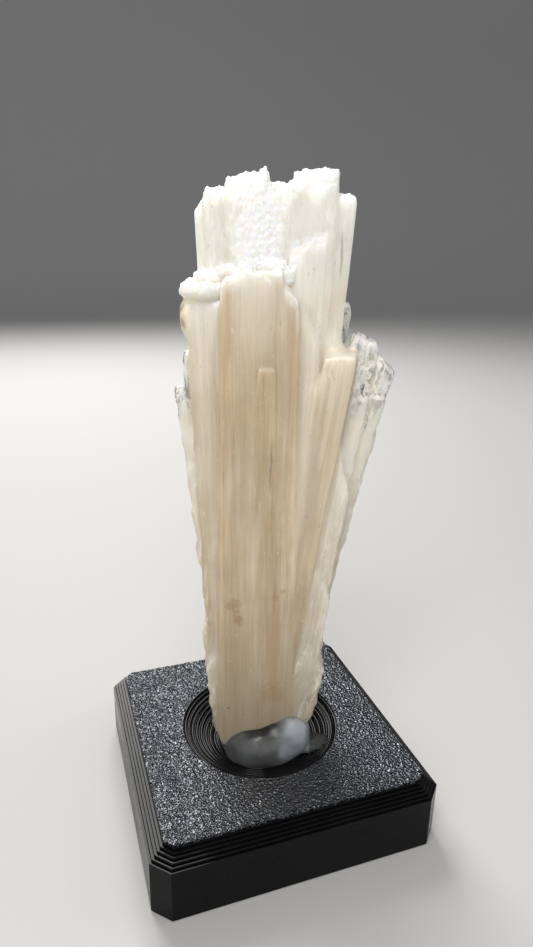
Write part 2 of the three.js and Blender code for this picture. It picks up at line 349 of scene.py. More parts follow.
# The same plastic where the plate left its grain: crowded glossy pimples.
tree, shader, place = opened(bpy.data.materials["grained_black_plastic"])
smudge = noise(tree, place, 110, 4)
tree.links.new(between(tree, smudge, 0.3, 0.7, 0.09, 0.16), shader.inputs["Roughness"])
dark = ramp(tree, smudge, [(0.3, (0.005, 0.006, 0.008)), (0.7, (0.012, 0.013, 0.017))])
tree.links.new(dark, shader.inputs["Base Color"])
pimples = node(tree, "TexVoronoi", {"Vector": place, "Scale": 2300.0}, feature="SMOOTH_F1")
dust = noise(tree, place, 4200, 2)
coarse = relief(tree, pimples.outputs["Distance"], 1.0, 0.44 * MM)
tree.links.new(relief(tree, dust, 0.5, 0.06 * MM, coarse), shader.inputs["Normal"])
shader.inputs["Specular IOR Level"].default_value = 1.0
shader.inputs["Specular Tint"].default_value = (0.86, 0.92, 1.0, 1)
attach(plinth, "root")
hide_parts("plinth")

# ---------------------------------------------------------------------------- scolecite spray
# A spray of long four-sided scolecite prisms grown from one foot, milky and tan inside with
# clear blades on both edges. Faces carry fine ridges along their length; every tip is broken.
# The spray is turned on its stand, and its own frame is in millimetres: across, away, height.
SPRAY_TURN = -19.5
TURNED = Matrix.Rotation(math.radians(SPRAY_TURN), 4, "Z")
UNTURNED = Matrix.Rotation(math.radians(-SPRAY_TURN), 4, "Z")
FOOT_Z = 8.6
# A prism is grown this much past its foot and its tip, to be broken off there.
SINK = 2.0
OVERLENGTH = 4 * MM
# The mesh step along a crystal is SQUEEZE times the step across it.
MESH_STEP = 0.26 * MM
SQUEEZE = 3.5
MILKY, CLEAR = 0, 1
CLEAR_FROM = 55 * MM
BREAK_REACH = 3 * MM
BREAK_FADE = 1.8 * MM
TIP_ZONE = 1.2 * MM
EDGE_CUT = (0.02, 0.06)
# Each row: foot (across, away), tip (across, away, height), foot size, tip size, turn,
# tip slope (across, away), roughness of the break, body, tan (1) to white (0) and whiteness of
# the break. Millimetres, degrees.
CRYSTALS = [
    # the tall block behind
    ((-4.9, 0.8), (-9.7, 1.0, 103.9), (3.4, 6.2), (2.6, 9.2), 3, (1.2, 0.1), 0.5, MILKY, 0.22, 1),
    ((-3.8, 0.8), (-7.2, 1.4, 105.7), (4.2, 6.8), (5.2, 10.2), 1, (0.1, 0.1), 0.7, MILKY, 0.12, 1),
    ((-1.8, 0.5), (-3.2, 1.5, 107.0), (4.4, 7.4), (6.4, 10.8), -1, (0.2, -0.1), 0.8, MILKY, 0.1, 1),
    ((0.4, 0.6), (1.6, 1.6, 106.4), (4.4, 7.4), (5.8, 10.8), 1, (0.05, 0.1), 0.8, MILKY, 0.12, 1),
    ((2.6, 0.4), (6.7, 1.2, 107.5), (4.2, 7.4), (6.8, 10.4), -1, (0.1, -0.1), 0.5, MILKY, 0.08, 1),
    ((4.4, 0.8), (10.9, 1.1, 105.0), (3.2, 6.4), (3.4, 9.8), 1, (-0.1, 0.1), 0.4, MILKY, 0.15, 1),
    # the shorter group in front of it
    ((-4.4, -3.0), (-4.5, -4.4, 94.2), (6.0, 3.6), (4.8, 5.2), 1, (0.45, 0.25), 0.6, MILKY, 0.95, 0.7),
    ((-0.4, -3.2), (-0.4, -4.5, 94.8), (4.6, 3.6), (5.6, 5.4), -1, (0.05, 0.25), 0.7, MILKY, 1.0, 0.7),
    ((3.2, -3.0), (2.8, -4.3, 92.4), (5.2, 3.4), (3.4, 5.2), 1, (-0.9, 0.3), 0.5, MILKY, 0.8, 0.5),
    ((-0.8, -2.9), (0.1, -6.4, 80.4), (2.2, 2.0), (2.7, 1.8), 0, (0, 0.1), 0.1, MILKY, 1.0, 0.1),
    ((2.4, -2.2), (5.9, -1.8, 98.6), (2.8, 3.6), (5.6, 4.7), -2, (0.2, 0.35), 0.4, MILKY, 0.15, 0.6),
    ((2.2, -2.7), (6.2, -3.1, 86.6), (3.0, 3.6), (4.6, 4.8), 1, (-1.8, 0.3), 0.3, MILKY, 0.45, 0.05),
    # the left edge
    ((-4.9, -1.4), (-8.2, -1.8, 90.0), (5.0, 5.6), (6.2, 7.0), -22, (0, 0), 0.5, MILKY, 0.5, 1),
    ((-5.6, 0.0), (-11.9, -1.2, 82.2), (3.2, 3.6), (2.3, 4.6), 6, (0.3, 0), 0.3, CLEAR, 0.2, 0.5),
    ((-5.2, -0.8), (-13.2, -2.0, 76.2), (2.6, 2.4), (2.0, 2.4), 12, (-0.4, 0.2), 0.3, CLEAR, 0.2, 0.5),
    ((-5.4, 0.2), (-8.7, 0.4, 36.0), (4.8, 6.8), (3.8, 6.8), -6, (1.0, 0), 0.3, MILKY, 0.05, 0.1),
    ((-5.2, -1.0), (-8.2, -1.4, 28.4), (4.8, 6.4), (4.0, 6.4), 4, (0.9, 0), 0.3, MILKY, 0.05, 0.1),
    # the right edge, with the clear wing
    ((1.8, -2.6), (11.4, -3.6, 82.6), (2.0, 3.8), (5.0, 5.0), -5, (0.05, 0.2), 0.3, MILKY, 0.66, 0.12),
    ((1.4, -2.6), (8.5, -4.2, 78.8), (1.8, 3.4), (2.6, 3.8), -3, (0.9, 0.2), 0.2, MILKY, 0.6, 0.05),
    ((4.2, -0.8), (15.3, -1.5, 84.6), (3.4, 4.8), (4.5, 3.8), -7, (-0.4, 0.1), 0.4, CLEAR, 0.1, 0.6),
    ((2.8, -0.4), (18.3, -1.1, 81.2), (3.2, 4.8), (3.9, 3.8), -8, (-0.95, 0.1), 0.4, CLEAR, 0.05, 0.6),
    ((4.8, 1.8), (12.4, 2.6, 89.6), (2.2, 3.0), (1.7, 2.6), -5, (-0.3, 0), 0.3, CLEAR, 0.1, 0.4),
    ((4.0, -1.6), (12.6, -2.4, 65.0), (3.8, 5.4), (4.4, 5.0), -6, (-3.6, 0.3), 0.3, MILKY, 0.1, 0.15),
    ((4.8, -0.4), (10.0, -1.0, 44.0), (5.6, 7.6), (4.8, 8.0), -6, (-1.4, 0), 0.3, MILKY, 0.05, 0.1),
    ((4.2, -0.6), (9.0, -1.1, 28.4), (5.6, 7.6), (5.6, 8.0), 0, (-0.7, 0), 0.3, MILKY, 0.05, 0.1),
    # the back
    ((-3.0, 2.8), (-5.6, 7.2, 98.2), (4.8, 3.8), (6.8, 4.6), -4, (0.2, -0.3), 0.7, MILKY, 0.4, 1),
    ((0.4, 3.2), (1.2, 8.2, 91.0), (4.6, 3.8), (6.6, 5.0), 3, (-0.2, -0.3), 0.7, MILKY, 0.35, 1),
    ((3.4, 2.6), (7.6, 7.0, 95.4), (4.2, 3.8), (5.6, 4.8), -7, (-0.3, -0.2), 0.7, MILKY, 0.4, 1),
    ((-5.0, 2.0), (-10.6, 5.0, 81.0), (3.6, 3.8), (4.0, 4.8), 12, (0.5, -0.2), 0.5, MILKY, 0.5, 0.6),
    ((5.0, 2.0), (12.6, 4.4, 70.0), (3.6, 3.8), (3.8, 4.0), -14, (-0.5, -0.2), 0.5, MILKY, 0.4, 0.6),
    ((-1.4, 4.0), (-2.2, 9.8, 66.0), (3.6, 2.6), (4.2, 3.2), 6, (0.2, -0.5), 0.5, MILKY, 0.6, 0.6),
]
luck = random.Random(27)
noise_at = mathutils.noise.noise
milky, clear = map(bpy.data.materials.new, ("milky_scolecite", "clear_scolecite"))


def stretched_space(name, size):
    """An empty whose scaled space draws a texture out along the crystal."""
    made = bpy.data.objects.new(name, None)
    made.scale = size
    bpy.context.scene.collection.objects.link(made)
    return made


long_space = stretched_space("along_crystal", (1, 1, 45))
short_space = stretched_space("across_crystal", (1, 1, 5))
even_space = stretched_space("even", (1, 1, 1))
knob_space = stretched_space("along_knobs", (1, 1, 1.6))
broad_ribs = texture("broad_ribs", 1.7 * MM, "CELL_NOISE")
fine_ribs = texture("fine_ribs", 0.75 * MM, "CELL_NOISE")
soft_ribs = texture("soft_ribs", 1.1 * MM, depth=2, hard=True)
swell = texture("swell", 2.6 * MM, depth=1)
knobs = texture("knobs", 1.9 * MM, depth=2)
nibbled = texture("nibbled", 2.2 * MM, "VORONOI_F1", 1)
break_steps = texture("break_steps", 1.3 * MM, "CELL_NOISE")
crumbs = texture("crumbs", 0.8 * MM, depth=2, hard=True)
break_grit = texture("break_grit", 0.9 * MM, depth=2, hard=True)


def select_where(piece, kind, test):
    """In edit mode selects the vertices, edges or faces that pass a test of their centre."""
    bpy.ops.mesh.select_all(action="DESELECT")
    bpy.ops.object.mode_set(mode="OBJECT")
    mesh = piece.data
    if kind == "VERT":
        for v in mesh.vertices:
            v.select = test(v.co, v)
    elif kind == "EDGE":
        for e in mesh.edges:
            a, b = (mesh.vertices[i].co for i in e.vertices)
            e.select = test((a + b) / 2, b - a)
    else:
        for f in mesh.polygons:
            f.select = test(f.center, f.normal)
    bpy.ops.object.mode_set(mode="EDIT")
    bpy.ops.mesh.select_mode(type=kind)


def rescale(piece, size):
    """Scales a piece's mesh about its origin."""
    piece.scale = size
    bpy.ops.object.transform_apply(location=False, rotation=False, scale=True)


def record_growth(piece, body, tan, frost, tip_point, tip_normal, shift):
    """Gives a part of the spray its body and the attributes that its materials read."""
    mesh = piece.data
    mesh.materials.append(milky)
    mesh.materials.append(clear)
    mesh.attributes.new("tan", "FLOAT", "FACE")
    mesh.attributes.new("grain", "FLOAT_VECTOR", "CORNER")
    mesh.attributes.new("broken", "FLOAT", "CORNER")
    tint, grain, broken = (mesh.attributes[name] for name in ("tan", "grain", "broken"))
    for face in mesh.polygons:
        ragged = CLEAR_FROM * (1 + 0.12 * noise_at(face.center / MM * 0.4))
        is_clear = body == CLEAR and face.center.z > ragged
        face.material_index = CLEAR if is_clear else MILKY
        tint.data[face.index].value = tan
        on_break = face.normal.dot(tip_normal) > 0.35
        for corner in face.loop_indices:
            place = mesh.vertices[mesh.loops[corner].vertex_index].co
            grain.data[corner].vector = place + shift
            below = (tip_point - place).dot(tip_normal)
            near = 0.6 * max(0, 1 - max(below, 0) / BREAK_FADE)
            broken.data[corner].value = frost * (1 if on_break and below < BREAK_REACH else near)


def grow(index, foot, tip, stem, head, turn, slope, rough, body, tan, frost):
    """One crystal: a prism that widens upwards, with cut edges, ribs and a broken tip."""
    base = Vector((foot[0], foot[1], FOOT_Z - SINK)) * MM
    end = Vector(tip) * MM
    axis = end - base
    lean = Vector((0, 0, 1)).rotation_difference(axis).to_matrix().to_4x4()
    stance = Matrix.Translation(base) @ lean @ Matrix.Rotation(math.radians(turn), 4, "Z")
    length = axis.length
    over = 1 + OVERLENGTH / length
    bpy.ops.object.select_all(action="DESELECT")
    bpy.ops.mesh.primitive_cube_add(size=1, location=(0, 0, 0.5))
    crystal = bpy.context.object
    crystal.name = f"crystal_{index}"
    settle()
    rescale(crystal, (stem[0] * MM, stem[1] * MM, length * over))
    bpy.ops.object.mode_set(mode="EDIT")
    select_where(crystal, "FACE", lambda c, n: n.z > 0.9)
    wider = [1 + (head[i] / stem[i] - 1) * over for i in (0, 1)]
    bpy.ops.transform.resize(value=(wider[0], wider[1], 1), center_override=(0, 0, 0))
    thin = min(min(stem), min(head)) * MM
    for x, y in [(1, 1), (1, -1), (-1, 1), (-1, -1)]:
        select_where(
            crystal, "EDGE", lambda c, d: abs(d.z) > length / 2 and c.x * x > 0 and c.y * y > 0
        )
        bpy.ops.mesh.bevel(offset=thin * luck.uniform(*EDGE_CUT), segments=1, affect="EDGES")
    bpy.ops.mesh.select_all(action="SELECT")
    tip_normal = stance.to_3x3().inverted() @ Vector((-slope[0], -slope[1], 1)).normalized()
    tip_point = Vector((0, 0, length))
    bpy.ops.mesh.bisect(plane_co=tip_point, plane_no=tip_normal, use_fill=True, clear_outer=True)
    bpy.ops.object.mode_set(mode="OBJECT")
    rescale(crystal, (1, 1, 1 / SQUEEZE))
    even = crystal.modifiers.new("even_mesh", "REMESH")
    even.mode = "VOXEL"
    even.voxel_size = MESH_STEP
    apply_modifiers(crystal)
    rescale(crystal, (1, 1, SQUEEZE))
    near_tip = crystal.vertex_groups.new(name="tip")
    for v in crystal.data.vertices:
        below = (tip_point - v.co).dot(tip_normal)
        near_tip.add([v.index], max(0, min(1, 1.6 - below / TIP_ZONE)), "REPLACE")
    shift = Vector((luck.uniform(-1, 1), luck.uniform(-1, 1), luck.uniform(-1, 1)))
    for space in (long_space, short_space, even_space):
        space.location = shift
    bpy.context.view_layer.update()
    displace(crystal, broad_ribs, 0.07 * MM, coords=long_space)
    displace(crystal, fine_ribs, 0.02 * MM, coords=long_space)
    displace(crystal, soft_ribs, 0.09 * MM, coords=long_space)
    displace(crystal, swell, 0.2 * MM, coords=short_space)
    if body == CLEAR:
        displace(crystal, nibbled, 1.3 * MM, "X", coords=even_space)
    displace(crystal, break_steps, 1.2 * rough * MM, "Z", "tip", coords=even_space)
    displace(crystal, break_grit, 1.6 * rough * MM, "Z", "tip", coords=even_space)
    worn = crystal.modifiers.new("worn", "SMOOTH")
    worn.factor = 0.5
    worn.iterations = round(3 + 5 * (1 - frost))
    worn.vertex_group = "tip"
    apply_modifiers(crystal)
    record_growth(crystal, body, tan, frost, tip_point, tip_normal, shift)
    crystal.matrix_world = TURNED @ stance
    settle()
    return crystal


def in_spray(across, away, height):
    """A point of the spray's own frame, in millimetres, in the object's frame."""
    return TURNED @ (Vector((across, away, height)) * MM)


def lump(name, centre, radii, tan, frost, dents=0.7, crust=0.25):
    """A rounded knob grown onto the spray."""
    bpy.ops.mesh.primitive_ico_sphere_add(subdivisions=5, radius=1)
    knob = bpy.context.object
    knob.name = name
    rescale(knob, [r * MM for r in radii])
    even_space.location = (luck.random(), luck.random(), luck.random())
    bpy.context.view_layer.update()
    displace(knob, swell, dents * MM, coords=even_space)
    displace(knob, break_grit, crust * MM, coords=even_space)
    apply_modifiers(knob)
    record_growth(knob, MILKY, tan, frost, Vector(), Vector((0, 0, 1)), Vector(centre))
    knob.rotation_euler = (0, 0, math.radians(SPRAY_TURN))
    knob.location = in_spray(*centre)
    settle()
    return knob


grown = [grow(i, *row) for i, row in enumerate(CRYSTALS)]
grown.append(lump("white_cap", (-10.9, -2.4, 91.1), (2.5, 3.8, 1.9), 0, 0.9, 0.8, 0.6))
grown.append(lump("cap_end", (-8.8, -3.2, 91.1), (2.6, 3.6, 1.9), 0, 0.9, 0.8, 0.6))
grown.append(lump("stained_lump", (-11.5, -2.2, 87.2), (1.7, 2.5, 3.5), 0.3, 0.2))
# A white crust where the front group ends against the tall block.
CRUST = [((-8.6, -3.8, 93.0), (2.5, 1.5, 1.2)), ((-5.6, -4.0, 93.8), (2.3, 1.5, 1.2)),
         ((-2.6, -4.1, 94.6), (2.3, 1.6, 1.3)), ((0.4, -4.1, 94.6), (2.6, 1.6, 1.4)),
         ((2.9, -4.1, 93.4), (1.5, 1.3, 1.6))]
for i, (centre, radii) in enumerate(CRUST):
    grown.append(lump(f"crust_{i}", centre, radii, 0, 1, 0.4, 0.8))
cluster = grown[0]
cluster.name = "scolecite_spray"
combine(cluster, grown[1:], "UNION")

# Its underside is broken off square, and the foot is chipped all round.
CHIP_BLOCK, CHIP_CELLS = 30 * MM, 60
GROUND_BLOCK = 40 * MM


def broken_off(name, point, direction):
    """A rough-faced block that takes away what lies beyond a break."""
    bpy.ops.mesh.primitive_cube_add(size=CHIP_BLOCK, location=(0, 0, CHIP_BLOCK / 2))
    block = bpy.context.object
    block.name = name
    settle()
    bpy.ops.object.mode_set(mode="EDIT")
    select_where(block, "FACE", lambda c, n: n.z < -0.9)
    bpy.ops.mesh.subdivide(number_cuts=CHIP_CELLS)
    bpy.ops.object.mode_set(mode="OBJECT")
    displace(block, break_grit, 0.8 * MM, coords=even_space)
    apply_modifiers(block)
    facing = (TURNED @ Vector(direction)).to_track_quat("Z", "Y").to_matrix().to_4x4()
    block.matrix_world = Matrix.Translation(in_spray(*point)) @ facing
    settle()
    return block


bpy.ops.mesh.primitive_cube_add(size=GROUND_BLOCK, location=(0, 0, FOOT_Z * MM - GROUND_BLOCK / 2))
ground = bpy.context.object
settle()
chips = [
    broken_off("chip_left", (-6.2, -1.5, 9.6), (-0.8, -0.1, -0.55)),
    broken_off("chip_right", (5.6, 0, 9.6), (0.7, 0.1, -0.6)),
    broken_off("chip_back", (0, 4.6, 9.8), (0, 0.7, -0.6)),
    broken_off("chip_front", (0, -4.8, 9.4), (0, -0.75, -0.6)),
]
combine(cluster, [ground] + chips, "DIFFERENCE")

# Specks that no longer hang on the spray are brushed off.
top_vertex = max(cluster.data.vertices, key=lambda v: v.co.z).index
bpy.ops.object.mode_set(mode="EDIT")
select_where(cluster, "VERT", lambda c, v: v.index == top_vertex)
bpy.ops.mesh.select_linked()
bpy.ops.mesh.select_all(action="INVERT")
bpy.ops.mesh.delete(type="VERT")
bpy.ops.object.mode_set(mode="OBJECT")

# Side by side the crystals have grown into each other, so the grooves between them are soft and
# one colour fades into the next. Breaks, the ledge, clear crystal and the small blade's end
# keep their edges.
TAN_FADE_STEPS, BREAK_FADE_STEPS = 24, 4
HEAL_STEPS, NORMALS_EVERY = 80, 6
GROOVE_HEAL, RIDGE_HEAL = 0.8, 0.03
KEEP_BREAK, KEEP_LEDGE, KEEP_CLEAR, KEEP_BLADE = 1.2, 0.75, 0.7, 0.9
LEDGE_Z, LEDGE_REACH = 94, 5
SMALL_BLADE_END, BLADE_END_REACH = (0.1, -6.4, 80.0), 1.6


def read(elements, name, width=1, kind=np.float32):
    """One property of all the vertices, edges or faces of a mesh, as an array."""
    values = np.zeros(width * len(elements), dtype=kind)
    elements.foreach_get(name, values)
    return values


mesh = cluster.data
ends = read(mesh.edges, "vertices", 2, np.int32).reshape(-1, 2).T
corners = read(mesh.loops, "vertex_index", kind=np.int32)
sides = read(mesh.polygons, "loop_total", kind=np.int32)
count = len(mesh.vertices)
joined = np.bincount(ends[0], minlength=count) + np.bincount(ends[1], minlength=count)
joined = np.maximum(joined, 1)
corners_at = np.maximum(np.bincount(corners, minlength=count), 1)


def around(values):
    """The mean of each vertex's neighbours."""
    ahead = np.bincount(ends[0], values[ends[1]], count)
    behind = np.bincount(ends[1], values[ends[0]], count)
    return (ahead + behind) / joined


def faded(name, corner_values, steps):
    """Replaces an attribute by one on the vertices, with its borders faded."""
    values = np.bincount(corners, corner_values, count) / corners_at
    for i in range(steps):
        values = (values + around(values)) / 2
    mesh.attributes.remove(mesh.attributes[name])
    mesh.attributes.new(name, "FLOAT", "POINT")
    mesh.attributes[name].data.foreach_set("value", values.astype(np.float32))
    return values


faded("tan", np.repeat(read(mesh.attributes["tan"].data, "value"), sides), TAN_FADE_STEPS)
broken = faded("broken", read(mesh.attributes["broken"].data, "value"), BREAK_FADE_STEPS)
is_clear = np.repeat(read(mesh.polygons, "material_index", kind=np.int32), sides)
is_clear = np.minimum(np.bincount(corners, is_clear, count), 1)
points = read(mesh.vertices, "co", 3).reshape(-1, 3).astype(np.float64)
near_ledge = np.clip(1 - np.abs(points[:, 2] / MM - LEDGE_Z) / LEDGE_REACH, 0, 1)
heal = np.clip(1 - KEEP_BREAK * broken, 0, 1)
heal *= (1 - KEEP_LEDGE * near_ledge) * (1 - KEEP_CLEAR * is_clear)
blade_end = in_spray(*SMALL_BLADE_END) / MM
from_end = np.linalg.norm(points / MM - np.array(blade_end), axis=1)
heal *= 1 - KEEP_BLADE * np.clip(2.4 - from_end / BLADE_END_REACH, 0, 1)
for i in range(HEAL_STEPS):
    if i % NORMALS_EVERY == 0:
        mesh.vertices.foreach_set("co", points.astype(np.float32).ravel())
        mesh.update()
        outward = read(mesh.vertex_normals, "vector", 3).reshape(-1, 3)
    step = np.stack([around(points[:, k]) for k in range(3)], axis=1) - points
    in_groove = (step * outward).sum(axis=1) > 0
    points += step * (heal * np.where(in_groove, GROOVE_HEAL, RIDGE_HEAL))[:, None]
mesh.vertices.foreach_set("co", points.astype(np.float32).ravel())
mesh.update()

# Both edges of the spray are nibbled into knobs and notches.
SLICES, SLICE_HEIGHT = 60, 2
NIBBLED_WIDTH, NIBBLED_BELOW, NIBBLED_FADE = 3, 84, 6
across = (points @ np.array(UNTURNED.to_3x3()).T)[:, 0] / MM
heights = points[:, 2] / MM
level = np.clip((heights / SLICE_HEIGHT).astype(int), 0, SLICES - 1)
edge_zone = cluster.vertex_groups.new(name="edges")
right_edge = np.full(SLICES, -99.0)
left_edge = np.full(SLICES, 99.0)
np.maximum.at(right_edge, level, across)
np.minimum.at(left_edge, level, across)
from_edge = np.minimum(right_edge[level] - across, across - left_edge[level])
knobbly = np.clip(1.15 - from_edge / NIBBLED_WIDTH, 0, 1)
knobbly *= np.clip((NIBBLED_BELOW - heights) / NIBBLED_FADE, 0, 1)
for index in np.nonzero(knobbly > 0)[0]:
    edge_zone.add([int(index)], float(knobbly[index]), "REPLACE")
displace(cluster, knobs, 1.3 * MM, group="edges", coords=knob_space)
displace(cluster, crumbs, 0.35 * MM, group="edges", coords=even_space)
apply_modifiers(cluster)

# Under its top edge the face of the tall block is crushed to white grit, which hangs down in a
# tongue, and a scuffed line crosses the face. Millimetres in the spray's frame.
CRUSHED_ABOVE, CRUSHED_SLOPE = 102.8, 0.2
TONGUE, TONGUE_HALF = (-1.6, 100), (3.4, 6.0)
SCUFF, SCUFF_SLOPE, SCUFF_HALF = (2.8, 97.4), 0.34, 0.6
SCUFF_ENDS = (2.6, 8.6)


def crushed(point):
    """How far a point of the front face is crushed, 0 to 1."""
    across, away, height = (UNTURNED @ point) / MM
    if away > 0:
        return 0
    ragged = noise_at(point / MM * 0.7) * 1.6 + noise_at(point / MM * 2.1) * 0.6
    top_edge = (height - CRUSHED_ABOVE - CRUSHED_SLOPE * max(across, 0) + ragged) / 2.0
    tongue = math.hypot((across - TONGUE[0]) / TONGUE_HALF[0], (height - TONGUE[1]) / TONGUE_HALF[1])
    tongue = 1.25 - tongue + 0.3 * ragged
    scuff = abs(height - SCUFF[1] - SCUFF_SLOPE * (across - SCUFF[0])) / SCUFF_HALF
    scuff = 1.2 - scuff + 0.5 * ragged
    scuff = min(scuff, (across - SCUFF_ENDS[0]) / 0.5, (SCUFF_ENDS[1] - across) / 0.5)
    return max(0, min(1, max(top_edge, 2.2 * tongue, scuff)))


pick(cluster)
bpy.ops.object.mode_set(mode="EDIT")
select_where(cluster, "EDGE", lambda c, d: abs(d.z) > 0.5 * MM and crushed(c) > 0)
bpy.ops.mesh.subdivide(number_cuts=2)
bpy.ops.object.mode_set(mode="OBJECT")
grit_zone = cluster.vertex_groups.new(name="crushed")
depths = [crushed(v.co) for v in cluster.data.vertices]
for index, depth in enumerate(depths):
    if depth > 0:
        grit_zone.add([index], depth, "REPLACE")
    frosted = cluster.data.attributes["broken"].data[index]
    frosted.value = max(frosted.value, depth)
bpy.ops.object.shade_smooth_by_angle(angle=math.radians(24))
displace(cluster, crumbs, 0.6 * MM, group="crushed", mid=0.55, coords=even_space)
apply_modifiers(cluster)

# The spray's own directions, sideways and towards the back, which its colours follow.
ACROSS, AWAY = in_spray(1 / MM, 0, 0), in_spray(0, 1 / MM, 0)


def along_grain(tree, across, along):
    """The grain coordinates, drawn out along the crystal; both are features a metre."""
    source = node(tree, "Attribute", attribute_name="grain").outputs["Vector"]
    scale = {"Vector": source, "Scale": (across, across, along)}
    return node(tree, "Mapping", scale).outputs["Vector"]


def centred(tree, value):
    """Moves a 0 to 1 noise down to -0.5 to 0.5."""
    return maths(tree, "SUBTRACT", value, 0.5)


def off_middle(tree, value, middle, half):
    """A length's distance from a middle, in half sizes. Millimetres."""
    return maths(tree, "DIVIDE", maths(tree, "SUBTRACT", value, middle * MM), half * MM)


def glow_under_skin(shader):
    """Light sinks into scolecite and comes out warmer."""
    shader.inputs["IOR"].default_value = 1.51
    shader.inputs["Subsurface Weight"].default_value = 1
    shader.inputs["Subsurface Radius"].default_value = (1.0, 0.85, 0.65)
    shader.inputs["Subsurface Scale"].default_value = 3 * MM


# Milky crystal: light sinks in; tan and cream fibres run along each prism; breaks are white.
tree, shader, place = opened(milky)
height = node(tree, "SeparateXYZ", {"Vector": place}).outputs["Z"]
tan = node(tree, "Attribute", attribute_name="tan").outputs["Fac"]
broken = node(tree, "Attribute", attribute_name="broken").outputs["Fac"]
threads = noise(tree, along_grain(tree, 2300, 90), 1, 4, 0.7)
fibres = noise(tree, along_grain(tree, 560, 26), 1, 5, 0.66)
bands = noise(tree, along_grain(tree, 210, 14), 1, 3, 0.5)
clouds = noise(tree, place, 150, 4, 0.6)
tone = maths(tree, "ADD", times(tree, threads, 0.3), times(tree, fibres, 0.32))
tone = maths(tree, "ADD", tone, times(tree, bands, 0.18))
tone = maths(tree, "ADD", tone, times(tree, clouds, 0.2))
TAN = [(0.39, (0.465, 0.355, 0.225)), (0.5, (0.59, 0.475, 0.315)), (0.61, (0.72, 0.615, 0.455))]
WHITE = [(0.4, (0.73, 0.68, 0.57)), (0.5, (0.81, 0.77, 0.67)), (0.6, (0.89, 0.86, 0.79))]
# The crystals are more tan lower down. Towards the top they are paler: partly their own whiter ends,
# partly painted light from above.
low_down = between(tree, height, 70 * MM, 36 * MM, 0, 0.35)
paler_and_lit_top = between(tree, height, 74 * MM, 95 * MM, 0, 0.5)
tan_share = maths(tree, "ADD", tan, low_down)
tan_share = maths(tree, "SUBTRACT", tan_share, paler_and_lit_top, clamp=True)
color = mixed(tree, tan_share, ramp(tree, tone, WHITE), ramp(tree, tone, TAN))
haze = noise(tree, along_grain(tree, 130, 40), 1, 3, 0.6)
color = mixed(tree, between(tree, haze, 0.52, 0.68, 0, 0.3), color, (0.8, 0.74, 0.63))
color = mixed(tree, between(tree, haze, 0.48, 0.34, 0, 0.35), color, (0.5, 0.385, 0.25))
cool_top = between(tree, height, 88 * MM, 98 * MM, 0, 0.85)
COOL = [(0.36, (0.71, 0.7, 0.64)), (0.5, (0.765, 0.755, 0.7)), (0.64, (0.82, 0.81, 0.765))]
color = mixed(tree, cool_top, color, ramp(tree, tone, COOL))
curds = noise(tree, along_grain(tree, 330, 120), 1, 4, 0.65)
curdled = times(tree, cool_top, between(tree, curds, 0.5, 0.64, 0, 0.6))
color = mixed(tree, curdled, color, (0.93, 0.92, 0.88))
curdled = times(tree, cool_top, between(tree, curds, 0.47, 0.36, 0, 0.55))
color = mixed(tree, curdled, color, (0.64, 0.62, 0.55))
# Towards the foot the colour turns darker and greyer: partly the foot's own greyer tone, partly
# painted shade low down.
grey_and_shaded_foot = between(tree, height, 52 * MM, 12 * MM, 0, 0.6)
color = mixed(tree, grey_and_shaded_foot, color, (0.34, 0.285, 0.21))
# Each zone of the front: its middle (across, height), half size, strength and colour. The two cleft
# zones are painted shade in narrow clefts.
BROWN, PALE, GREYISH = (0.54, 0.39, 0.22), (0.77, 0.71, 0.6), (0.5, 0.425, 0.32)
# The last of these colours is painted shade: the dark inside of a narrow cleft.
CREAM, RUST, HONEY, CLEFT_SHADE = (0.8, 0.7, 0.52), (0.46, 0.3, 0.16), (0.76, 0.56, 0.33), (0.2, 0.175, 0.13)
ZONES = [
    ((-6.1, 86.0), (1.0, 11.0), 0.5, BROWN), ((4.2, 84.0), (1.2, 8.0), 0.4, BROWN),
    ((-1.0, 88.0), (2.8, 6.5), 0.45, PALE), ((-2.8, 60.0), (2.4, 12.0), 0.3, GREYISH),
    ((7.6, 60.0), (1.2, 10.0), 0.45, GREYISH), ((5.1, 57.0), (0.7, 15.0), 0.45, CREAM),
    ((2.2, 31.0), (1.1, 12.0), 0.4, RUST), ((-12.6, 87.4), (1.0, 2.4), 0.6, HONEY),
    ((0.95, 65.0), (0.2, 4.2), 0.5, CLEFT_SHADE), ((10.6, 96.6), (0.25, 3.2), 0.4, CLEFT_SHADE),
]
wander = times(tree, centred(tree, noise(tree, place, 300, 4, 0.6)), 1.2 * MM)
across = maths(tree, "ADD", vector_maths(tree, "DOT_PRODUCT", place, ACROSS), wander)
in_front = between(tree, vector_maths(tree, "DOT_PRODUCT", place, AWAY), 1 * MM, -1 * MM)
for middle, half, strength, zone_color in ZONES:
    offsets = {"X": off_middle(tree, across, middle[0], half[0]),
               "Y": off_middle(tree, height, middle[1], half[1])}
    reach = vector_maths(tree, "LENGTH", node(tree, "CombineXYZ", offsets).outputs["Vector"])
    share = between(tree, reach, 1.25, 0.5, 0, strength)
    color = mixed(tree, times(tree, share, in_front), color, zone_color)
